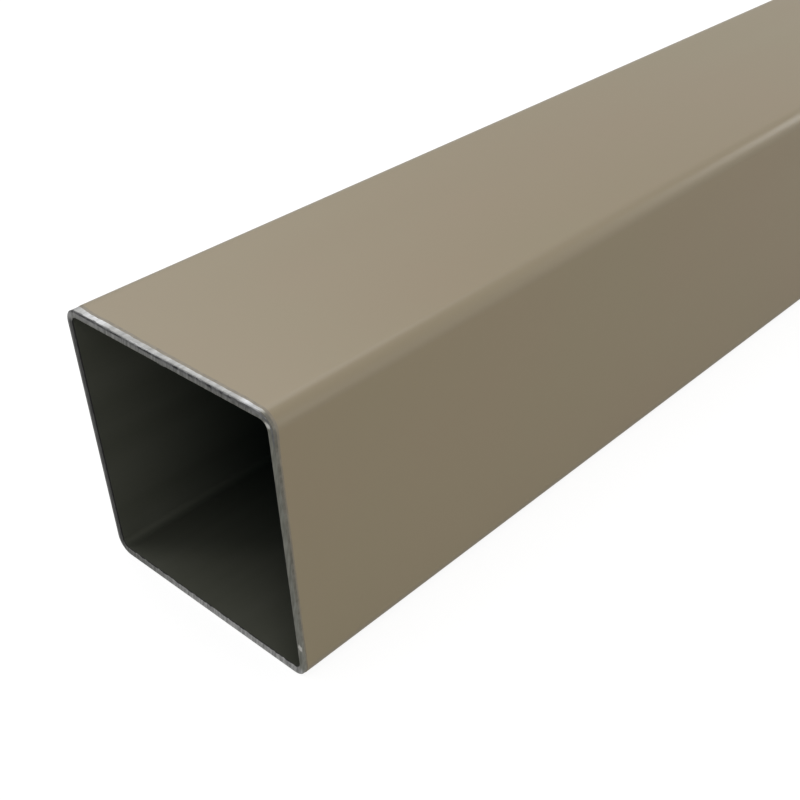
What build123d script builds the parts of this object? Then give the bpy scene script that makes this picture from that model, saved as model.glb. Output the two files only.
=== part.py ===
from build123d import *

# Square tube: one length of cold formed, seam welded steel hollow section.
#
# The strip is rolled to a square, its two edges are butt welded along the middle
# of one wall, the weld is planed flush outside and rolled down to a low bead
# inside, and the length is sawn square and has its burrs filed off. All of it is
# one piece.
#
# Millimetres. X runs along the tube, Z is up, and the tube lies on its lower wall
# with the origin at the middle of that wall's underside.

import os

# Driving dimensions
SIDE = 50.0             # across the outside, flat to flat
WALL = 1.5              # thickness of the strip
LENGTH = 1000.0         # sawn length
CORNER_RATIO = 2.0      # outside corner radius, in wall thicknesses
BEAD_WIDTH = 2.2        # weld bead across its toes
BEAD_HEIGHT = 0.2       # weld bead above the inside of the wall
EDGE_BREAK = 0.2        # flat left on the sawn edges by the file

# Sizes that follow from them
bore_side = SIDE - 2 * WALL
outside_radius = CORNER_RATIO * WALL
inside_radius = outside_radius - WALL
mid_height = SIDE / 2
ceiling_height = SIDE - WALL


with BuildPart() as square_tube:
    # The section stands on its lower wall. Its inside and outside corners share
    # their centres, so the wall keeps its thickness round each bend.
    with BuildSketch(Plane.YZ.offset(-LENGTH / 2)):
        with Locations((0, mid_height)):
            RectangleRounded(SIDE, SIDE, outside_radius)
            RectangleRounded(bore_side, bore_side, inside_radius, mode=Mode.SUBTRACT)

        # The weld bead hangs from the upper wall as a shallow arc, rooted in it
        with BuildLine():
            crown = ThreePointArc(
                (-BEAD_WIDTH / 2, ceiling_height),
                (0, ceiling_height - BEAD_HEIGHT),
                (BEAD_WIDTH / 2, ceiling_height),
            )
            Polyline(
                crown @ 1,
                (BEAD_WIDTH / 2, ceiling_height + WALL / 2),
                (-BEAD_WIDTH / 2, ceiling_height + WALL / 2),
                crown @ 0,
            )
        make_face()
    extrude(amount=LENGTH)

    # Both sawn faces lose their sharp edges, outside and inside
    ends = square_tube.faces().filter_by(Axis.X).sort_by(Axis.X)
    chamfer((ends[0].edges() + ends[-1].edges()), EDGE_BREAK)


os.makedirs("parts", exist_ok=True)
square_tube.part.label = "square_tube"
export_step(square_tube.part, "parts/square_tube.step")

section_area = square_tube.part.volume / LENGTH
print(f"bore {bore_side:.1f} mm square, corners {outside_radius:.1f} and {inside_radius:.1f} mm")
print(f"section {section_area:.1f} mm2, {section_area * 7.85e-3:.2f} kg per metre")
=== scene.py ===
# %% [markdown]
# # A metre of square steel tube
#
# The real tube starts as a coil of flat strip. Rollers fold it into a square, the two edges
# are welded together along one wall, and a saw cuts the endless tube into lengths. This one is
# painted outside, bare where the ends were dressed with a file, and dark mill steel inside.
#
# The frame comes first. It holds the tube's true size and place, so everything below is
# measured from it and nothing is fitted by eye afterwards.

# %% Load the frame
import math

import bmesh
import bpy
from mathutils import Matrix, Vector, noise


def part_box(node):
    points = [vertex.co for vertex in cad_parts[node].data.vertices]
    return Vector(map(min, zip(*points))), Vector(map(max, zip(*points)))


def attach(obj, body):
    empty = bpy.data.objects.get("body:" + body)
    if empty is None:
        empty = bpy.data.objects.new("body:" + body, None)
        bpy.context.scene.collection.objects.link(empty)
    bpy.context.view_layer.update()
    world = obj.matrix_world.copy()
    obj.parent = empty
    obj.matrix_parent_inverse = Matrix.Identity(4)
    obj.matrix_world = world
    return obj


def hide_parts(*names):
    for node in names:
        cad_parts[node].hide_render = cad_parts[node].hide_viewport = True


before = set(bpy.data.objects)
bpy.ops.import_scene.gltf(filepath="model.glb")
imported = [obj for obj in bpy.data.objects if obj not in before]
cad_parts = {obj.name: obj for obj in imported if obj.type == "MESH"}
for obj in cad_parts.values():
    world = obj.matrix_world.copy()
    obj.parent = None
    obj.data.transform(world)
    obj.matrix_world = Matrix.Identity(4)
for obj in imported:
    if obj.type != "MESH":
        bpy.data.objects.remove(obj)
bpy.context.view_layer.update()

low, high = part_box("square_tube")
length = high.x - low.x
side = high.z - low.z
print(f"frame: {length * 1000:.0f} mm long, {side * 1000:.0f} mm square")

# %% [markdown]
# ## The section
#
# Every slice through the tube looks the same, so the shape is drawn once, as a flat slice,
# and pulled along its length. A slice could be traced with a curve, but a plane with bevelled
# corners keeps the flats exactly flat and the bends exactly round, as rollers do.
#
# The inset that makes the wall follows the outline at an even distance, so the inside bend
# keeps the same centre as the outside one. That is what folding a strip of even thickness does.

# %% Measures of the section
MM = 0.001
WALL = 1.5 * MM
OUTSIDE_RADIUS = 2 * WALL
BEND_SEGMENTS = 12
FLAT_SEGMENTS = 80
BEAD_WIDTH = 2.2 * MM
BEAD_HEIGHT = 0.2 * MM
HAIR = 0.02 * MM        # anything closer than this is the same place

mouth_x = low.x
tail_x = high.x
middle_x = (mouth_x + tail_x) / 2
middle_z = (low.z + high.z) / 2
half_flat = side / 2 - OUTSIDE_RADIUS
ceiling_z = high.z - WALL
print(f"section: {WALL * 1000:.1f} mm wall, {OUTSIDE_RADIUS * 1000:.1f} mm bends")

# %% [markdown]
# Each step in edit mode works on the points, edges or faces that are selected. With a mouse
# they are clicked one by one. A helper picks them by a rule instead, such as "all edges longer
# than this", so a step still works when a measure is changed.

# %% Helper for selecting
def pick(piece, kind, wanted):
    """Selects the piece's verts, edges or faces for which wanted(item) is true, and counts them."""
    modes = {"verts": "VERT", "edges": "EDGE", "faces": "FACE"}
    bpy.ops.mesh.select_mode(type=modes[kind])
    bpy.ops.mesh.select_all(action="DESELECT")
    mesh = bmesh.from_edit_mesh(piece.data)
    chosen = [item for item in getattr(mesh, kind) if wanted(item)]
    for item in chosen:
        item.select_set(True)
    mesh.select_flush_mode()
    bmesh.update_edit_mesh(piece.data)
    return len(chosen)


print("helper: pick")

# %% [markdown]
# An operator works on whatever is selected, and the frame's own solid still is, so everything
# is deselected before the plane is added. The plane stands upright where the near end will be.

# %% Draw the slice at the near end
bpy.ops.object.select_all(action="DESELECT")
bpy.ops.mesh.primitive_plane_add(
    size=side,
    location=(mouth_x, 0, middle_z),
    rotation=(0, -math.pi / 2, 0),
)
tube = bpy.context.object
tube.name = "painted_tube"
tube.data.name = "painted_tube"
bpy.ops.object.transform_apply(location=True, rotation=True, scale=True)

bpy.ops.object.mode_set(mode="EDIT")
bpy.ops.mesh.select_all(action="SELECT")
bpy.ops.mesh.bevel(
    offset=OUTSIDE_RADIUS,
    segments=BEND_SEGMENTS,
    profile=0.5,
    affect="VERTICES",
)
bpy.ops.mesh.inset(thickness=WALL, use_even_offset=True)
bpy.ops.mesh.delete(type="FACE")
print("slice:", len(bmesh.from_edit_mesh(tube.data).faces), "faces round the wall")

# %% [markdown]
# The flats are cut into short steps next. Long thin faces would be enough for the paint, but
# the filed ends need points that can wander a little, as a hand-held file does.
#
# The weld bead is a low arc of metal left hanging inside the upper wall. Its two faces are cut
# finer, and each column of points is pulled down by the height of the arc there.

# %% Cut the flats and raise the weld bead
BEAD_CUTS = 1


def along_a_flat(edge):
    return edge.calc_length() > half_flat


def beside_the_bead(edge):
    a, b = (vert.co for vert in edge.verts)
    level = abs(a.z - b.z) < HAIR and a.z > ceiling_z - HAIR
    return level and max(abs(a.y), abs(b.y)) < BEAD_WIDTH / 2 + HAIR


pick(tube, "edges", along_a_flat)
bpy.ops.mesh.subdivide(number_cuts=FLAT_SEGMENTS - 1)
step_width = 2 * half_flat / FLAT_SEGMENTS
pick(tube, "edges", beside_the_bead)
bpy.ops.mesh.subdivide(number_cuts=BEAD_CUTS)

arc_radius = (BEAD_HEIGHT ** 2 + (BEAD_WIDTH / 2) ** 2) / (2 * BEAD_HEIGHT)
columns = round(BEAD_WIDTH / 2 / (step_width / (BEAD_CUTS + 1)))
for column in range(columns):
    y = column * step_width / (BEAD_CUTS + 1)
    drop = BEAD_HEIGHT - arc_radius + math.sqrt(arc_radius ** 2 - y ** 2)
    pick(tube, "verts", lambda v: abs(abs(v.co.y) - y) < HAIR and abs(v.co.z - ceiling_z) < HAIR)
    bpy.ops.transform.translate(value=(0, 0, -drop))
print(f"weld bead: arc of {arc_radius * 1000:.2f} mm radius, {2 * columns - 1} columns")

# %% [markdown]
# The slice is extruded from one end of the frame to the other, the way the tube itself grows
# out of the rollers. Extruding turns some faces inside out, so the normals are worked out anew.

# %% Pull the slice to its length
bpy.ops.mesh.select_mode(type="FACE")
bpy.ops.mesh.select_all(action="SELECT")
bpy.ops.mesh.extrude_region_move(TRANSFORM_OT_translate={"value": (length, 0, 0)})
bpy.ops.mesh.select_all(action="SELECT")
bpy.ops.mesh.normals_make_consistent(inside=False)
print(f"tube: {length * 1000:.0f} mm pulled")

# %% [markdown]
# ## The ends
#
# A saw leaves sharp edges, and a few strokes of a file take them off, outside and in. A small
# bevel on those edges does the same. It is only 0.2 mm, but it is what catches the light.

# %% Break the sawn edges
EDGE_BREAK = 0.2 * MM
LENGTHWISE = 0.1    # a face runs along the tube if its normal has less x than this,
CROSSWISE = 0.95    # and lies across it, as the sawn faces do, if it has more than this


def runs_along(face):
    return abs(face.normal.x) < LENGTHWISE


def is_rim(edge):
    """True for the edges between a sawn face and the skin or the bore."""
    facings = sorted(abs(face.normal.x) for face in edge.link_faces)
    return len(facings) == 2 and facings[0] < LENGTHWISE and facings[1] > CROSSWISE


rims = pick(tube, "edges", is_rim)
bpy.ops.mesh.bevel(offset=EDGE_BREAK, segments=2, profile=0.5, affect="EDGES")
print("rims:", rims, "edges broken")

# %% [markdown]
# The file also takes the paint off beside the cut. Bare steel is a little lower than the paint
# around it, and the film ends in a thin feathered slope, so each end needs three rings cut into
# its skin: the foot of the slope, its brink, and one further in that keeps the shading of the
# slope away from the long flat faces. Bisect cuts only the faces that are selected, so the bore
# stays as it is.

# %% Cut rings for the edge of the paint
PAINT_FILM = 0.08 * MM
FOOT = 0.30 * MM
BRINK = 0.42 * MM
KEEPER = 4.0 * MM


def faces_out(face):
    """True for the skin, false for the bore and the sawn ends."""
    centre = face.calc_center_median()
    outward = Vector((0, centre.y, centre.z - middle_z))
    return face.normal.dot(outward) > 0 and abs(face.normal.x) < CROSSWISE


def from_end(point):
    """Distance along the tube to the nearer end."""
    return min(point.x - mouth_x, tail_x - point.x)


for distance in (FOOT, BRINK, KEEPER):
    for x in (mouth_x + distance, tail_x - distance):
        pick(tube, "faces", lambda face: faces_out(face) and runs_along(face))
        bpy.ops.mesh.bisect(plane_co=(x, 0, 0), plane_no=(1, 0, 0), threshold=HAIR / 10)


def on_a_paint_edge(edge):
    """True for the rings at the foot and the brink of the paint."""
    a, b = (from_end(vert.co) for vert in edge.verts)
    return abs(a - b) < HAIR and min(abs(a - FOOT), abs(a - BRINK)) < HAIR


print("paint edges:", pick(tube, "edges", on_a_paint_edge), "edges marked sharp")
bpy.ops.mesh.mark_sharp()


# %% [markdown]
# ## The surfaces
#
# One tube shows six finishes: paint, the torn edge of the paint, filed steel, the saw cut, the
# mill skin inside and the weld. They could be mixed in one material by masks, but each border
# lies on an edge of the mesh already. A slot for each finish keeps those borders sharp, and each
# material stays short enough to read.

# %% Mark out the surfaces
def give_slot(piece, name, wanted):
    """Adds an empty material called name and puts it on the faces that are wanted."""
    material = bpy.data.materials.new(name)
    material.use_nodes = True
    piece.data.materials.append(material)
    piece.active_material_index = len(piece.data.materials) - 1
    count = pick(piece, "faces", wanted)
    bpy.ops.object.material_slot_assign()
    print(f"  {name}: {count} faces")
    return material


def in_the_band(face):
    return faces_out(face) and from_end(face.calc_center_median()) < FOOT


def on_the_slope(face):
    return faces_out(face) and FOOT < from_end(face.calc_center_median()) < BRINK


def on_the_saw_cut(face):
    return not faces_out(face) and not runs_along(face)


def in_the_bore(face):
    return not faces_out(face) and runs_along(face)


def on_the_bead(face):
    centre = face.calc_center_median()
    return in_the_bore(face) and abs(centre.y) < BEAD_WIDTH / 2 and centre.z > middle_z


paint = give_slot(tube, "satin_paint", faces_out)
paint_edge = give_slot(tube, "paint_edge", on_the_slope)
filed_steel = give_slot(tube, "filed_steel", in_the_band)
sawn_steel = give_slot(tube, "sawn_steel", on_the_saw_cut)
mill_steel = give_slot(tube, "mill_steel", in_the_bore)
weld_steel = give_slot(tube, "weld_steel", on_the_bead)

# %% [markdown]
# The paint is a film on the steel, so where the file took it off, the surface lies a little
# lower. Shrink/fatten moves the faces of the bands in along their own normals, round the bends
# as well as on the flats, by the thickness of the film. The painted skin keeps the true size.

# %% Sink the filed bands under the paint
sunk = pick(tube, "faces", lambda face: in_the_band(face) and runs_along(face))
bpy.ops.transform.shrink_fatten(value=-PAINT_FILM)
bpy.ops.object.mode_set(mode="OBJECT")
print("filed bands:", sunk, "faces sunk")

# %% [markdown]
# A file held in the hand bites deeper in one place than in another, so the edge of the paint
# wanders. On the near end it is widest on the upper wall, where the file lay flat, and narrow
# down the sides. Stops round the tube say how wide, and between two stops the width changes
# evenly.

# %% Widths of the filed bands
# Stops round the tube, seen from the near end: 0 is the -Y wall, 90 the upper wall and 180 the
# +Y wall. Each has the bare width and the width where the paint is whole, in millimetres.
near_stops = (
    (-45, 0.35, 0.55),
    (0, 0.40, 0.62),
    (36, 0.42, 0.66),
    (45, 0.50, 0.90),
    (52, 0.70, 1.12),
    (65, 0.74, 1.20),
    (90, 0.82, 1.34),
    (108, 1.00, 1.46),
    (128, 1.12, 1.60),
    (134, 1.50, 2.10),
    (141, 1.50, 1.90),
    (150, 0.90, 1.20),
    (180, 0.60, 0.80),
    (225, 0.40, 0.60),
    (315, 0.35, 0.55),
)
far_stops = (
    (-45, 0.45, 0.65),
    (45, 0.80, 1.15),
    (90, 0.95, 1.35),
    (135, 0.75, 1.05),
    (225, 0.45, 0.65),
    (315, 0.45, 0.65),
)


def widths_at(stops, angle):
    """The bare and the whole width at an angle, in metres."""
    for (a, *first), (b, *second) in zip(stops, stops[1:]):
        if a <= angle <= b:
            share = (angle - a) / (b - a)
            return [(one + (two - one) * share) * MM for one, two in zip(first, second)]


def angle_round(point):
    angle = math.degrees(math.atan2(point.z - middle_z, -point.y))
    return angle + 360 if angle < -45 else angle


def below_skin(point):
    """How deep in the wall a point lies, on the flats and in the bends alike."""
    past_y = max(abs(point.y) - half_flat, 0)
    past_z = max(abs(point.z - middle_z) - half_flat, 0)
    return OUTSIDE_RADIUS - math.hypot(past_y, past_z)


print(f"stops: {len(near_stops)} round the near end, {len(far_stops)} round the far one")

# %% [markdown]
# The points could be moved one by one. Here a vertex group says how far each should go, as a
# share of a longest reach, and one Displace modifier moves them all along the tube at once. Two
# noises, a broad one and a fine one, make the line waver like one drawn by hand.

# %% Let the edge of the paint follow the file
REACH = 3 * MM
WANDER = 0.12 * MM
BROAD = 240
FINE = 800
FINE_SHARE = 0.6

for name, end_x, inward, stops in (
    ("near_paint_edge", mouth_x, 1, near_stops),
    ("far_paint_edge", tail_x, -1, far_stops),
):
    group = tube.vertex_groups.new(name=name)
    count = 0
    for vert in tube.data.vertices:
        distance = abs(vert.co.x - end_x)
        rings = [abs(distance - ring) < HAIR for ring in (FOOT, BRINK)]
        if not any(rings) or below_skin(vert.co) > WALL / 2:
            continue
        bare, whole = widths_at(stops, angle_round(vert.co))
        wave = noise.noise(vert.co * BROAD) + FINE_SHARE * noise.noise(vert.co * FINE)
        wave *= WANDER * min(1, bare / MM)
        push = (bare if rings[0] else whole) + wave - distance
        group.add([vert.index], max(0, min(1, push / REACH)), "REPLACE")
        count += 1
    follow = tube.modifiers.new(name, "DISPLACE")
    follow.direction = "X"
    follow.vertex_group = name
    follow.mid_level = 0
    follow.strength = inward * REACH
    bpy.ops.object.modifier_apply(modifier=follow.name)
    print(f"{name}: {count} points moved")

# %% [markdown]
# Each bend is a fan of flat facets. Smooth shading hides them, but the walls beside the bends
# have to stay flat, so only faces that meet at less than 20 degrees are blended. The rings at
# the edge of the paint were marked sharp and stay so.

# %% Smooth the bends
BLENDED = 20    # degrees
bpy.ops.object.shade_smooth_by_angle(angle=math.radians(BLENDED), keep_sharp_edges=True)
print("tube:", len(tube.data.vertices), "points,", len(tube.data.polygons), "faces")

# %% [markdown]
# ## A map for baking
#
# The materials below need no UV map, because their patterns sit in the metal. A map is only
# needed when they are baked to pictures for another program. An automatic one gives every
# millimetre of a metre-long tube the same few pixels, and the bare end is one millimetre wide.
#
# So the tube is unrolled like a label instead. U runs once round the section. V runs from the
# near end out along the skin, over the far end and back through the bore. The last few
# millimetres at each end get far more of its room than their length would give them.

# %% Unroll the tube for baking
END_SHARE = 0.09
SKIN_SHARE = 0.36
BORE_SHARE = 0.44
RIM = WALL + EDGE_BREAK
quarter = 2 * half_flat + OUTSIDE_RADIUS * math.pi / 2


def way_round(point):
    """Length along the skin from one end of the lower flat to the point, going round."""
    out, along = middle_z - point.z, point.y
    for turn in range(4):
        if out > half_flat - HAIR and along > -half_flat - HAIR:
            break
        out, along = along, -out
    if along <= half_flat:
        return turn * quarter + along + half_flat
    bend = math.atan2(along - half_flat, max(out - half_flat, 0))
    return turn * quarter + 2 * half_flat + OUTSIDE_RADIUS * bend


def way_along(point, outside, in_bore):
    """The V of a point, from the near rim over the skin and back through the bore."""
    if in_bore:
        return 2 * END_SHARE + SKIN_SHARE + BORE_SHARE * (tail_x - point.x) / length
    to_end = from_end(point)
    if outside and to_end > KEEPER:
        share = (point.x - mouth_x - KEEPER) / (length - 2 * KEEPER)
        return END_SHARE + SKIN_SHARE * share
    over_rim = (to_end if outside else -to_end) - below_skin(point)
    share = END_SHARE * (over_rim + RIM) / (KEEPER + RIM)
    return share if point.x < middle_x else 2 * END_SHARE + SKIN_SHARE - share


bpy.ops.object.mode_set(mode="EDIT")
mesh = bmesh.from_edit_mesh(tube.data)
label = mesh.loops.layers.uv.new("OFBake")
for face in mesh.faces:
    outside, in_bore = faces_out(face), in_the_bore(face)
    ways = [way_round(loop.vert.co) for loop in face.loops]
    for loop, way in zip(face.loops, ways):
        if max(ways) - way > 2 * quarter:
            way += 4 * quarter
        loop[label].uv = (way / (4 * quarter), way_along(loop.vert.co, outside, in_bore))
bmesh.update_edit_mesh(tube.data)
bpy.ops.object.mode_set(mode="OBJECT")
print(f"label: {4 * quarter * 1000:.1f} mm round, ends {END_SHARE:.0%} of the height each")

# %% [markdown]
# ## The finishes
#
# Each finish is one Principled shader fed by noise. A noise texture is solid, like the grain in
# wood: the surface cuts through it, so a pattern runs over an edge or round a bend with no seam.
# It reads the tube's own coordinates in metres, so a noise of scale 900 has lumps of about a
# millimetre, and stretching it along one axis turns the lumps into strokes.
#
# The helpers below add a node, stretch a grain, colour it, and set a value where it is the same
# all over.

# %% Helpers for the finishes
INNER_NOISE = (0.35, 0.65)    # a noise is mostly in this range,
MIDDLE_NOISE = (0.3, 0.7)     # seldom leaves this one
WHOLE_NOISE = (0.2, 0.8)      # and hardly ever this one


def set_shader(material, values):
    """Sets the material's shader sockets by name, and returns its node tree and shader."""
    tree = material.node_tree
    shader = tree.nodes["Principled BSDF"]
    for socket, value in values.items():
        shader.inputs[socket].default_value = value
    return tree, shader


def add_node(tree, kind, values=None, **properties):
    """Adds a node, sets its properties and input values, and returns it."""
    node = tree.nodes.new("ShaderNode" + kind)
    for name, value in properties.items():
        setattr(node, name, value)
    for socket, value in (values or {}).items():
        node.inputs[socket].default_value = value
    return node


def grain(tree, stretch, scale, detail=3.0, turn=0.0):
    """Noise on the tube's own metres, drawn out by stretch on each axis, then turned about X."""
    coordinates = add_node(tree, "TexCoord")
    values = {"Scale": stretch, "Rotation": (turn, 0, 0)}
    mapping = add_node(tree, "Mapping", values, vector_type="TEXTURE")
    lumps = add_node(tree, "TexNoise", {"Scale": scale, "Detail": detail})
    tree.links.new(coordinates.outputs["Object"], mapping.inputs["Vector"])
    tree.links.new(mapping.outputs["Vector"], lumps.inputs["Vector"])
    return lumps.outputs["Fac"]


def ramp(tree, factor, first, second):
    """Goes from one colour to another over the middle of a noise."""
    node = add_node(tree, "ValToRGB")
    for element, place, colour in zip(node.color_ramp.elements, MIDDLE_NOISE, (first, second)):
        element.position = place
        element.color = (*colour, 1)
    tree.links.new(factor, node.inputs["Fac"])
    return node.outputs["Color"]


def bump(tree, shader, height, distance):
    """Lets height, from 0 to 1, stand out of the surface by distance."""
    node = add_node(tree, "Bump", {"Distance": distance})
    tree.links.new(height, node.inputs["Height"])
    tree.links.new(node.outputs["Normal"], shader.inputs["Normal"])


def between(tree, value, start, end, first=0.0, last=1.0):
    """Goes smoothly from first, where value is start, to last, where value is end."""
    limits = {"From Min": start, "From Max": end, "To Min": first, "To Max": last}
    node = add_node(tree, "MapRange", limits, interpolation_type="SMOOTHSTEP")
    tree.links.new(value, node.inputs["Value"])
    return node.outputs["Result"]


def uneven(tree, chips, reach):
    """A length from -reach to reach that changes with a noise, to make a border ragged."""
    return between(tree, chips, *INNER_NOISE, -reach, reach)


print("helpers: set_shader, add_node, grain, ramp, bump, between, uneven")

# %% [markdown]
# A finish also has to know where on the tube it is: the paint has a painted sheen round the bends,
# and the bare metal is painted light on the upper wall and shade below. A mask says so: it is a
# Map Range over a place or a distance. The place is measured from the middle of the tube, which
# makes the numbers read like a drawing, with the upper skin at a height of 25 mm. More helpers do
# sums, mix colours and mark a spot.

# %% Helpers for masks
def maths(tree, operation, *terms):
    """A Math node over its terms, each a socket or a number."""
    node = add_node(tree, "Math", operation=operation)
    for socket, term in zip(node.inputs, terms):
        if isinstance(term, (int, float)):
            socket.default_value = term
        else:
            tree.links.new(term, socket)
    return node.outputs["Value"]


def blend(tree, factor, first, second):
    """Mixes two colours, each a socket or an (r, g, b)."""
    node = add_node(tree, "Mix", data_type="RGBA")
    colour_inputs = node.inputs[6:8]    # the ones before them are for numbers and vectors
    tree.links.new(factor, node.inputs["Factor"])
    for socket, value in zip(colour_inputs, (first, second)):
        if isinstance(value, tuple):
            socket.default_value = (*value, 1)
        else:
            tree.links.new(value, socket)
    return node.outputs[2]


def tube_place(tree):
    """The place on the tube, from its middle: the length to it, its y and its z."""
    coordinates = add_node(tree, "TexCoord")
    centred = add_node(tree, "Mapping", {"Location": (-middle_x, 0, -middle_z)})
    split = add_node(tree, "SeparateXYZ")
    tree.links.new(coordinates.outputs["Object"], centred.inputs["Vector"])
    tree.links.new(centred.outputs["Vector"], split.inputs["Vector"])
    return maths(tree, "ABSOLUTE", split.outputs["X"]), split.outputs["Y"], split.outputs["Z"]


def spot(tree, place, middle, half_length):
    """1 where place is at the middle, falling to 0 at half_length on both sides."""
    away = maths(tree, "ABSOLUTE", maths(tree, "SUBTRACT", place, middle))
    return between(tree, away, half_length, half_length / 3)


print("helpers: maths, blend, tube_place, spot")

# %% [markdown]
# ### Paint
#
# The paint is a satin grey-brown, sprayed on before the tube was cut to length. Real paint is
# never one flat tone. The film is a little warmer or cooler from one hand's width to the next,
# it dries with a fine orange peel, and bundles slide over one another and leave it slightly
# smoother in long faint streaks. Each of these is one noise: broad for the tone, small for the
# peel, and drawn out along the tube for the rubbing.
#
# The bends reflect more of the bright room, so the paint there is painted a little greyer: a
# painted sheen. A mask finds the bends: they lie past the flats both in y and in z.

# %% Satin paint
WARM = (0.284, 0.224, 0.144)
COOL = (0.278, 0.230, 0.144)
# The grey of the bends is a painted sheen.
BEND_SHEEN = (0.278, 0.2305, 0.152)
IN_A_BEND = (half_flat, half_flat + 0.6 * MM)    # from the middle, in y and in z alike
ROUGH_PAINT = (0.28, 0.32)    # roughness where the film was rubbed and where it wasn't
PEEL = 0.004 * MM

tree, shader = set_shader(paint, {"IOR": 1.5})
clouds = grain(tree, (1, 1, 1), 24)
y, z = tube_place(tree)[1:]
past_y = between(tree, maths(tree, "ABSOLUTE", y), *IN_A_BEND)
past_z = between(tree, maths(tree, "ABSOLUTE", z), *IN_A_BEND)
in_a_bend = maths(tree, "MULTIPLY", past_y, past_z)
colour = blend(tree, in_a_bend, ramp(tree, clouds, WARM, COOL), BEND_SHEEN)
tree.links.new(colour, shader.inputs["Base Color"])
rubbed = grain(tree, (33, 1, 1), 90, detail=0.0)
tree.links.new(between(tree, rubbed, *WHOLE_NOISE, *ROUGH_PAINT), shader.inputs["Roughness"])
bump(tree, shader, grain(tree, (1, 1, 1), 600, detail=1.0), PEEL)
print(f"satin paint: peel {PEEL * 1e6:.0f} microns high")

# %% [markdown]
# Where the file broke the film, the torn edge is rougher and darker than the paint: crumbs of
# paint and steel dust in it, and painted shade along the small step. It is the narrow slope
# between the two rings, so a fine, darker noise is enough.

# %% Edge of the paint
tree, shader = set_shader(paint_edge, {"Roughness": 0.45})
crumbs = grain(tree, (1, 1, 1), 900)
# Darker than the paint, partly as painted shade of the step.
colour = ramp(tree, crumbs, (0.195, 0.168, 0.128), (0.262, 0.225, 0.166))
tree.links.new(colour, shader.inputs["Base Color"])
print("paint edge: crumbs of about 1 mm")

# %% [markdown]
# ### Filed steel
#
# A file is pushed across the edge, so its strokes run along the tube. Every tone of the steel is
# those strokes between a darker and a lighter grey. The tones are lit and shaded copies: on the
# upper wall the steel is painted light, with brighter patches, and round the bends and down the
# sides it is painted shade, darker and a little brown. The painted shade is darkest in the upper
# bends and palest low down.

# %% Tones of the filed steel
# Painted shade on the sides: paler low down, darker towards the upper bends.
PALER_DOWN = (-4 * MM, -20 * MM)      # heights between which the sides get paler
DARKER_UP = (20.5 * MM, 22 * MM)      # and between which they darken towards the upper bends
FRESH_PATCHES = (0.38, 0.6)           # a noise below these is worn steel, and above them fresh

tree, shader = set_shader(filed_steel, {"Metallic": 1.0})
along, y, z = tube_place(tree)
strokes = grain(tree, (2.5, 1, 1), 900, detail=4.0)
patches = grain(tree, (1, 1, 1), 170, detail=2.0)

# The two lighter tones are painted light for the upper wall and the glint tone a painted highlight;
# the darker ones are painted shade for the rim, the bends and the sides.
fresh = ramp(tree, strokes, (0.34, 0.34, 0.33), (0.55, 0.55, 0.54))
worn = ramp(tree, strokes, (0.30, 0.30, 0.295), (0.47, 0.47, 0.46))
glint = ramp(tree, strokes, (0.42, 0.42, 0.42), (0.80, 0.81, 0.82))
rim_shade = ramp(tree, strokes, (0.12, 0.12, 0.122), (0.25, 0.25, 0.25))
dull_high = ramp(tree, strokes, (0.22, 0.21, 0.175), (0.35, 0.335, 0.285))
dull_low = ramp(tree, strokes, (0.32, 0.315, 0.27), (0.48, 0.475, 0.41))
dull_bend = ramp(tree, strokes, (0.175, 0.167, 0.14), (0.28, 0.267, 0.228))
bright = blend(tree, between(tree, patches, *FRESH_PATCHES), worn, fresh)
dull = blend(tree, between(tree, z, *PALER_DOWN), dull_high, dull_low)
dull = blend(tree, between(tree, z, *DARKER_UP), dull, dull_bend)
print("filed steel: two bright tones and three dull ones")

# %% [markdown]
# The tones are then laid round the tube. Glints, painted highlights, stand near the two
# corners. The broken edge itself, the rim, has two painted highlights too, and painted shade
# towards the +Y wall. Its border is ragged because the saw chipped it: a little noise is added to
# the length before the mask is made.

# %% Lay the filed steel round the tube
LIT_FROM = (-23.1 * MM, -21.7 * MM)  # y where the painted light on the filed steel begins, round the -Y bend
LIT_TO = (23.82 * MM, 23.61 * MM)    # and where it ends, further round the other
UPPER_WALL = (22 * MM, 23 * MM)
# Each glint, a painted highlight, is its y and half its length
GLINTS = ((24.0 * MM, 2.0 * MM), (17.4 * MM, 3.9 * MM), (-19.6 * MM, 1.9 * MM))
RIM_GLINTS = ((4.0 * MM, 6.0 * MM), (-20.0 * MM, 3.0 * MM))
RIM_WIDTH = (0.25 * MM, 0.12 * MM)
# y over which the rim fades into painted shade, towards the +Y wall
RIM_SHADED = (6 * MM, 17 * MM)
CHIP = 0.09 * MM
ROUGH_FILED = (0.45, 0.32)

# Painted highlights on the filed steel.
for middle, half_length in GLINTS:
    bright = blend(tree, spot(tree, y, middle, half_length), bright, glint)
# Painted light on the upper wall, painted shade round the bends and down the sides.
lit_upper = maths(tree, "MULTIPLY", between(tree, y, *LIT_FROM), between(tree, y, *LIT_TO))
lit_upper = maths(tree, "MULTIPLY", lit_upper, between(tree, z, *UPPER_WALL))
colour = blend(tree, lit_upper, dull, bright)

chips = grain(tree, (1, 1, 1), 800, detail=2.0)
ragged = maths(tree, "ADD", along, uneven(tree, chips, CHIP))
on_rim = between(tree, ragged, *(length / 2 - width for width in RIM_WIDTH))
# Painted highlights on the rim.
for middle, half_length in RIM_GLINTS:
    shining = maths(tree, "MULTIPLY", on_rim, spot(tree, y, middle, half_length))
    colour = blend(tree, maths(tree, "MULTIPLY", shining, lit_upper), colour, glint)
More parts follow.
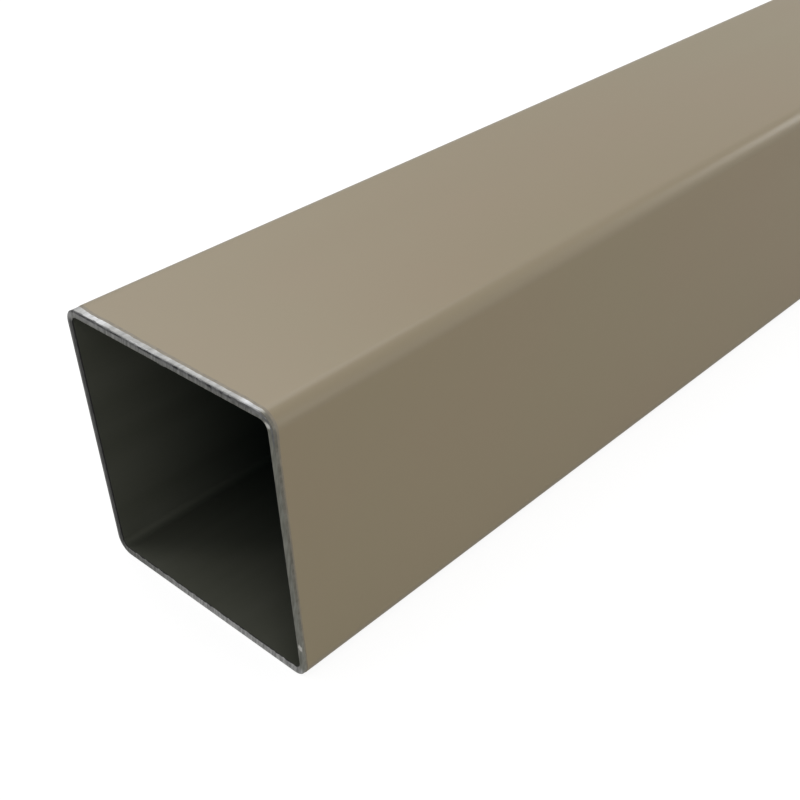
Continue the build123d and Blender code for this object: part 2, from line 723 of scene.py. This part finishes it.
# Painted shade on the rim towards the +Y wall.
shaded_rim = maths(tree, "MULTIPLY", on_rim, between(tree, y, *RIM_SHADED))
rim_shade = blend(tree, between(tree, z, *UPPER_WALL), worn, rim_shade)
tree.links.new(blend(tree, shaded_rim, colour, rim_shade), shader.inputs["Base Color"])
tree.links.new(between(tree, strokes, *MIDDLE_NOISE, *ROUGH_FILED), shader.inputs["Roughness"])
bump(tree, shader, strokes, 0.01 * MM)
print(f"filed steel: {len(GLINTS)} glints, rim {RIM_WIDTH[0] * 1000:.2f} mm wide")

# %% [markdown]
# ### The saw cut
#
# A saw's teeth cross the whole end in one direction, so the cut has fine parallel lines, turned
# a little from upright. Seen close, it is also a set of rings: a dark ring under the skin, painted
# shade along the broken edge, paler metal in the middle of the wall, and a black line at the burr
# round the bore, painted shade too.
#
# The rings follow the wall round the bends, so their masks need the depth in the wall and not a
# place. It is the same sum as for the points of the mesh, below_skin, now done by nodes.

# %% Depth in the wall, by nodes
def depth_in_wall(tree):
    """How far a point of the section lies under the skin, bends included."""
    coordinates = add_node(tree, "TexCoord")
    centred = add_node(tree, "Mapping", {"Location": (0, 0, -middle_z), "Scale": (0, 1, 1)})
    size = add_node(tree, "VectorMath", operation="ABSOLUTE")
    past_flat = add_node(tree, "VectorMath", operation="SUBTRACT")
    past_flat.inputs[1].default_value = (0, half_flat, half_flat)
    clipped = add_node(tree, "VectorMath", operation="MAXIMUM")
    radius = add_node(tree, "VectorMath", operation="LENGTH")
    tree.links.new(coordinates.outputs["Object"], centred.inputs["Vector"])
    tree.links.new(centred.outputs["Vector"], size.inputs[0])
    tree.links.new(size.outputs["Vector"], past_flat.inputs[0])
    tree.links.new(past_flat.outputs["Vector"], clipped.inputs[0])
    tree.links.new(clipped.outputs["Vector"], radius.inputs[0])
    return maths(tree, "SUBTRACT", OUTSIDE_RADIUS, radius.outputs["Value"])


print("helper: depth_in_wall")

# %% [markdown]
# Three grains make the marks. The teeth leave long strokes that lean 12 degrees from upright,
# the torn metal between them has pits, and small chips stand for all that is irregular.

# %% Grain of the saw cut
TEETH_TURN = 12

tree, shader = set_shader(sawn_steel, {"Metallic": 0.8})
depth = depth_in_wall(tree)
y, z = tube_place(tree)[1:]
teeth = grain(tree, (1, 1, 7), 2100, detail=4.0, turn=math.radians(TEETH_TURN))
pits = grain(tree, (1, 1, 1), 420, detail=2.0)
chips = grain(tree, (1, 1, 1), 800, detail=2.0)
print(f"saw cut: teeth turned {TEETH_TURN} degrees")

# %% [markdown]
# On the upper wall the dark ring is painted shade under the broken edge. It lies a little deeper
# towards the -Y wall, where pits break it up, and there bright chips at the skin are a painted
# highlight spilling over from the filed band. The rest of the wall is paler towards the +Y side.

# %% Upper wall of the saw cut
RING_EDGE = (0.45 * MM, 0.75 * MM)    # depths where the dark ring ends
RING_LEAN = 0.0075                    # how much nearer the skin it lies for each mm of y
PITS_FROM = (-8 * MM, -18 * MM)
ACROSS = (-20 * MM, 20 * MM)
CORNER_CLEAR = (-20 * MM, -15 * MM)   # no pits beyond it, in the corner itself
HIGHLIGHT_DEPTH = (0.42 * MM, 0.20 * MM)      # depths where the painted highlight fades and where it is full
HIGHLIGHT_FROM = (10 * MM, 4 * MM)
IN_PITS = (0.46, 0.58)                # ranges of noise over which a pit begins,
IN_CHIPS = (0.48, 0.60)               # a spot of painted highlight
DULL_CHIPS = (0.42, 0.65)             # and a dull chip in the paler metal

# The dark tones are painted shade under the broken edge.
dark_left = ramp(tree, teeth, (0.10, 0.10, 0.102), (0.26, 0.26, 0.258))
dark_right = ramp(tree, pits, (0.10, 0.10, 0.10), (0.30, 0.30, 0.295))
pale_left = ramp(tree, teeth, (0.22, 0.22, 0.21), (0.46, 0.46, 0.45))
pale_right = ramp(tree, teeth, (0.15, 0.15, 0.14), (0.33, 0.33, 0.315))
dark = blend(tree, between(tree, y, *PITS_FROM), dark_left, dark_right)
pale = blend(tree, between(tree, y, *ACROSS), pale_right, pale_left)
pale = blend(tree, between(tree, chips, *DULL_CHIPS, 0.0, 0.5), pale, dark_left)

not_at_corner = between(tree, y, *CORNER_CLEAR)
pitted = maths(tree, "MULTIPLY", between(tree, pits, *IN_PITS), not_at_corner)
dark = blend(tree, pitted, dark, (0.03, 0.03, 0.032))
ring_depth = maths(tree, "MULTIPLY_ADD", y, RING_LEAN, depth)
upper = blend(tree, between(tree, ring_depth, *RING_EDGE), dark, pale)
# Bright chips: a painted highlight near the skin.
chip_highlight = maths(tree, "MULTIPLY", between(tree, chips, *IN_CHIPS), between(tree, depth, *HIGHLIGHT_DEPTH))
chip_highlight = maths(tree, "MULTIPLY", chip_highlight, between(tree, y, *HIGHLIGHT_FROM))
upper = blend(tree, chip_highlight, upper, (0.55, 0.55, 0.54))
print(f"upper wall: dark ring {RING_EDGE[0] * 1000:.2f} mm wide")

# %% [markdown]
# The other walls have a tone each. The -Y wall is grey-green and lighter low down, and the dark
# ring of painted shade runs out down it. The lower wall is the brightest, and it dims towards the
# +Y wall. That one has a painted highlight at its outer edge, is dark inside, and is paler round
# the upper bend.

# %% Other walls of the saw cut
LIGHTER_DOWN = (10 * MM, -20 * MM)
RING_TAIL = (19 * MM, 21 * MM)        # heights where the dark ring runs out, down the -Y wall
LOWER_DIMS = (2 * MM, 22 * MM)
INSIDE_EDGE = (0.1 * MM, 0.95 * MM)
PALE_BEND = (22.4 * MM, 23.6 * MM)
TO_UPPER = (23.0 * MM, 24.2 * MM)
TO_LOWER = (-22.5 * MM, -24.0 * MM)
TO_LEFT = (22.5 * MM, 24.0 * MM)

right_high = ramp(tree, teeth, (0.18, 0.18, 0.153), (0.33, 0.33, 0.281))
right_low = ramp(tree, teeth, (0.20, 0.202, 0.175), (0.38, 0.383, 0.335))
lower_bright = ramp(tree, teeth, (0.29, 0.29, 0.286), (0.69, 0.69, 0.68))
# A painted highlight along the outer edge of the +Y wall.
lit_outer_edge = ramp(tree, teeth, (0.21, 0.21, 0.205), (0.38, 0.38, 0.37))
inner_edge = ramp(tree, teeth, (0.06, 0.06, 0.058), (0.12, 0.12, 0.117))
round_bend = ramp(tree, teeth, (0.34, 0.34, 0.34), (0.50, 0.50, 0.495))

right = blend(tree, between(tree, z, *LIGHTER_DOWN), right_high, right_low)
# The dark ring of painted shade runs out down the -Y wall.
in_ring = between(tree, depth, *RING_EDGE, 1.0, 0.0)
ring_end = maths(tree, "MULTIPLY", in_ring, between(tree, z, *RING_TAIL))
right = blend(tree, ring_end, right, dark_right)
lower = blend(tree, between(tree, y, *LOWER_DIMS), lower_bright, pale_right)
left = blend(tree, between(tree, depth, *INSIDE_EDGE), lit_outer_edge, inner_edge)
left = blend(tree, between(tree, z, *PALE_BEND), left, round_bend)

colour = blend(tree, between(tree, z, *TO_UPPER), right, upper)
colour = blend(tree, between(tree, z, *TO_LOWER), colour, lower)
colour = blend(tree, between(tree, y, *TO_LEFT), colour, left)
print("saw cut: four walls laid")

# %% [markdown]
# Two small painted highlights, the glints of nicks, shine in the -Y wall. Each is the distance
# from a point, and noise is added to the distance so that it isn't a perfect dot. The burr at the
# bore is a hair of steel turned over by the teeth. It is too thin to model, so the shade along it
# is painted as a black line of uneven width.

# %% Nicks and burr
NICK_HIGHLIGHTS = ((-23.74 * MM, 23.09 * MM), (-24.4 * MM, -18.3 * MM))  # y and z from the middle
NICK_HIGHLIGHT_SIZE = (0.66 * MM, 0.24 * MM)
BURR = (1.38 * MM, 1.44 * MM)         # depths where the line begins and where it is black
BURR_SHIFT = 0.08 * MM                # it lies nearer the skin on the side walls
SIDE_WALLS = (22 * MM, 24 * MM)
BURR_CORNER_SHIFT = 0.15 * MM                 # and is nearly gone in the upper corner on the -Y side
CORNER_HEIGHT = (21.5 * MM, 22.2 * MM)
CORNER_FROM = (-16 * MM, -20 * MM)
ROUGH_SAWN = (0.6, 0.45)

# Painted highlights at the nicks.
for nick_y, nick_z in NICK_HIGHLIGHTS:
    from_nick = add_node(tree, "VectorMath", operation="DISTANCE")
    from_nick.inputs[1].default_value = (mouth_x, nick_y, middle_z + nick_z)
    tree.links.new(add_node(tree, "TexCoord").outputs["Object"], from_nick.inputs[0])
    far = maths(tree, "ADD", from_nick.outputs["Value"], uneven(tree, chips, 2 * CHIP))
    colour = blend(tree, between(tree, far, *NICK_HIGHLIGHT_SIZE), colour, (0.76, 0.75, 0.70))

# Painted shade: a black line at the burr.
across = maths(tree, "ABSOLUTE", y)
burr_depth = maths(tree, "ADD", depth, between(tree, across, *SIDE_WALLS, 0, BURR_SHIFT))
burr_depth = maths(tree, "ADD", burr_depth, uneven(tree, chips, CHIP / 2))
in_corner = maths(tree, "MULTIPLY", between(tree, z, *CORNER_HEIGHT), between(tree, y, *CORNER_FROM))
burr_depth = maths(tree, "MULTIPLY_ADD", in_corner, -BURR_CORNER_SHIFT, burr_depth)
colour = blend(tree, between(tree, burr_depth, *BURR), colour, (0.03, 0.03, 0.03))
tree.links.new(colour, shader.inputs["Base Color"])
tree.links.new(between(tree, teeth, *MIDDLE_NOISE, *ROUGH_SAWN), shader.inputs["Roughness"])
bump(tree, shader, teeth, 0.02 * MM)
print(f"saw cut: {len(NICK_HIGHLIGHTS)} nicks")

# %% [markdown]
# ### Mill skin and weld
#
# Nobody paints the inside of a tube. It keeps the dark skin that hot rolling left, with rolling
# marks along its length. Near both mouths it is painted lighter for the light that comes in there,
# most on the lower wall and low on the side walls, and deeper in it is painted nearly black, for
# the shade inside. On the lower wall painted shade lies beside the bends, in strips that widen with
# the depth, so the distance from the middle of the wall and the depth are added before that mask
# is made.
#
# The depth itself comes from the distance to the middle of the tube, so it serves both ends.

# %% Mill steel
MOUTH_LIGHT_DEPTHS = (43 * MM, 2 * MM)                  # depths where the painted light from the mouth begins and where it is full
LOW_WALL = (-15 * MM, -22 * MM)           # heights where the side walls are painted lighter
PAST_RIM = (1 * MM, 9 * MM)
LOWER_BEND = (-22.2 * MM, -23.3 * MM)
BEND_SHADE_REACH = (14 * MM, 26 * MM)            # the strips of painted shade on the lower wall beside the bends
BEND_SHADE_SPREAD = 1.1                         # how much wider they get for each mm of depth
BEND_SHADE_MOST = 0.8
BEND_SHADE_HEIGHT = (-22.8 * MM, -23.45 * MM)

tree, shader = set_shader(mill_steel, {"Roughness": 0.75, "Specular IOR Level": 0.1})
along, y, z = tube_place(tree)
rolled = grain(tree, (20, 1, 1), 160)
# The first three tones are painted light from the mouths; the last two are painted shade, beside the
# bends and deep in the bore.
lit_wall = ramp(tree, rolled, (0.067, 0.070, 0.054), (0.077, 0.080, 0.063))
lit_low_wall = ramp(tree, rolled, (0.081, 0.085, 0.066), (0.092, 0.096, 0.077))
lit_floor = ramp(tree, rolled, (0.075, 0.078, 0.060), (0.086, 0.089, 0.071))
bend_shade_tone = ramp(tree, rolled, (0.050, 0.053, 0.041), (0.058, 0.061, 0.048))
shaded_skin = ramp(tree, rolled, (0.010, 0.016, 0.014), (0.014, 0.021, 0.018))

inward = maths(tree, "SUBTRACT", length / 2, along)
past_rim = between(tree, inward, *PAST_RIM)
low_wall = maths(tree, "MULTIPLY", between(tree, z, *LOW_WALL), past_rim)
mouth_light = blend(tree, low_wall, lit_wall, lit_low_wall)
mouth_light = blend(tree, between(tree, z, *LOWER_BEND), mouth_light, lit_floor)
toward_bend = maths(tree, "MULTIPLY_ADD", inward, BEND_SHADE_SPREAD, maths(tree, "ABSOLUTE", y))
beside_bend = between(tree, toward_bend, *BEND_SHADE_REACH, 0.0, BEND_SHADE_MOST)
on_floor = between(tree, z, *BEND_SHADE_HEIGHT)
mouth_light = blend(tree, maths(tree, "MULTIPLY", beside_bend, on_floor), mouth_light, bend_shade_tone)
lit_share = between(tree, inward, *MOUTH_LIGHT_DEPTHS)
tree.links.new(blend(tree, lit_share, shaded_skin, mouth_light), shader.inputs["Base Color"])
print(f"mill steel: dust {MOUTH_LIGHT_DEPTHS[0] * 1000:.0f} mm deep at each mouth")

# %% [markdown]
# The weld bead is metal that melted and ran, so it is smoother and shinier than the skin beside
# it, with ripples across it where it froze, and the blue-grey tint that heat leaves.

# %% Weld steel
tree, shader = set_shader(weld_steel, {"Metallic": 0.5, "Roughness": 0.45})
ripples = grain(tree, (1, 3.3, 1), 900)
colour = ramp(tree, ripples, (0.035, 0.04, 0.055), (0.105, 0.105, 0.115))
tree.links.new(colour, shader.inputs["Base Color"])
bump(tree, shader, ripples, 0.05 * MM)
print("weld steel: ripples across the bead")

# %% [markdown]
# ## The room
#
# The tube lies on a plain pale sheet that runs out of sight, in a studio where everything round
# it is white. A sheet lit that brightly would throw much light up onto the tube and take away
# its shape. A studio lights the backdrop apart from the object for that reason. Here the
# sheet's glow reads Light Path: the camera sees it white, and the tube sees it dimmer. The sky,
# further down, does the same.

# %% Floor
SHEET_SIZE = 80
SHEET_WHITE = 0.88
SHEET_GLOW = 0.22

bpy.ops.object.select_all(action="DESELECT")
bpy.ops.mesh.primitive_plane_add(size=SHEET_SIZE, location=(0, 0, low.z))
floor = bpy.context.object
floor.name = "floor"

pale_sheet = bpy.data.materials.new("pale_sheet")
pale_sheet.use_nodes = True
tree, shader = set_shader(
    pale_sheet,
    {
        "Base Color": (0.2, 0.2, 0.2, 1),
        "Roughness": 0.9,
        "Specular IOR Level": 0.1,
        "Emission Color": (1, 1, 1, 1),
    },
)
rays = add_node(tree, "LightPath")
glow = add_node(tree, "MapRange", {"To Min": SHEET_GLOW, "To Max": SHEET_WHITE})
tree.links.new(rays.outputs["Is Camera Ray"], glow.inputs["Value"])
tree.links.new(glow.outputs["Result"], shader.inputs["Emission Strength"])
floor.data.materials.append(pale_sheet)
print("floor: at", round(low.z, 4), "m")

# %% [markdown]
# The camera stands in front of the near end, to its right and above it, close enough that the
# tube runs out of the picture. Its place is given from the lower edge of the near mouth in
# multiples of the tube's side, so it would suit a tube of another size. It is turned in three
# steps, as a tripod head is: the heading, the tilt down and a small lean.

# %% Camera
PICTURE = 800
FOCAL_PIXELS = 1190.1
SHIFT_PIXELS = (26, 27)
HEADING = math.radians(45.7575)
LOOK_DOWN = math.radians(34.327)
LEAN = math.radians(-2.6286)
from_mouth = Vector((-1.6155, -2.6461, 2.7591)) * side

bpy.ops.object.camera_add(location=Vector((mouth_x, 0, low.z)) + from_mouth)
camera = bpy.context.object
heading = Matrix.Rotation(-HEADING, 4, "Z")
tilt = Matrix.Rotation(math.pi / 2 - LOOK_DOWN, 4, "X")
lean = Matrix.Rotation(LEAN, 4, "Z")
camera.rotation_euler = (heading @ tilt @ lean).to_euler()
camera.data.sensor_width = 36
camera.data.lens = FOCAL_PIXELS / PICTURE * camera.data.sensor_width
camera.data.shift_x = -SHIFT_PIXELS[0] / PICTURE
camera.data.shift_y = SHIFT_PIXELS[1] / PICTURE
camera.data.clip_start = 0.01
camera.data.clip_end = 200
bpy.context.scene.camera = camera
print(f"camera: {camera.data.lens:.1f} mm lens, {from_mouth.length * 1000:.0f} mm from the mouth")

# %% [markdown]
# The light is painted straight onto the sky: a soft dome that is brighter at the horizon, and
# four round glows. A big softbox over the far side lights the upper wall, a dimmer ceiling fills
# in, a window at the far end draws the bright line along the bend, and a broad low glow on the
# camera's side lights the -Y wall. Area lamps would do as well, but a glow has no edge to show
# up in the satin paint, and the sky costs less to render.

# %% Light
def toward(azimuth, elevation):
    """The direction at an azimuth from +X and an elevation, both in degrees."""
    azimuth = math.radians(azimuth)
    elevation = math.radians(elevation)
    level = math.cos(elevation)
    return Vector((level * math.cos(azimuth), level * math.sin(azimuth), math.sin(elevation)))


HORIZON = 0.63
ZENITH = 0.30
# Each glow: azimuth, elevation, strength, the radius that is fully lit and the soft edge round it
glows = {
    "big softbox": (72, 58.5, 1.28, 27.6, 4.0),
    "ceiling": (125, 62, 0.3, 45.9, 28.4),
    "far window": (-10.4, 13.4, 6.7, 4.9, 9.4),
    "front": (-95, 8.3, 1.0, 4.3, 46.7),
}

world = bpy.data.worlds.new("studio")
bpy.context.scene.world = world
world.use_nodes = True
tree = world.node_tree
background = tree.nodes["Background"]
direction = add_node(tree, "TexCoord")
upward = add_node(tree, "SeparateXYZ")
tree.links.new(direction.outputs["Generated"], upward.inputs["Vector"])
dome = add_node(tree, "MapRange", {"From Min": 0, "From Max": 1, "To Min": HORIZON, "To Max": ZENITH})
tree.links.new(upward.outputs["Z"], dome.inputs["Value"])
total = dome.outputs["Result"]
for azimuth, elevation, strength, radius, edge in glows.values():
    aim = add_node(tree, "VectorMath", operation="DOT_PRODUCT")
    aim.inputs[1].default_value = toward(azimuth, elevation)
    tree.links.new(direction.outputs["Generated"], aim.inputs[0])
    outer = math.cos(math.radians(radius + edge))
    inner = math.cos(math.radians(radius))
    total = maths(tree, "ADD", total, between(tree, aim.outputs["Value"], outer, inner, 0.0, strength))
rays = add_node(tree, "LightPath")
seen = add_node(tree, "Mix", {"B": 1.0})
tree.links.new(rays.outputs["Is Camera Ray"], seen.inputs["Factor"])
tree.links.new(total, seen.inputs["A"])
tree.links.new(seen.outputs["Result"], background.inputs["Strength"])
background.inputs["Color"].default_value = (1, 1, 1, 1)
bpy.context.scene.view_settings.view_transform = "Standard"
print("light:", ", ".join(glows))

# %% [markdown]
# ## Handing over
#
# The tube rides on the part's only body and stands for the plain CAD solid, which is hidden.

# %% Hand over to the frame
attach(tube, "root")
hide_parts("square_tube")
print(f"{tube.name}: {len(tube.data.materials)} finishes, in place of the solid")
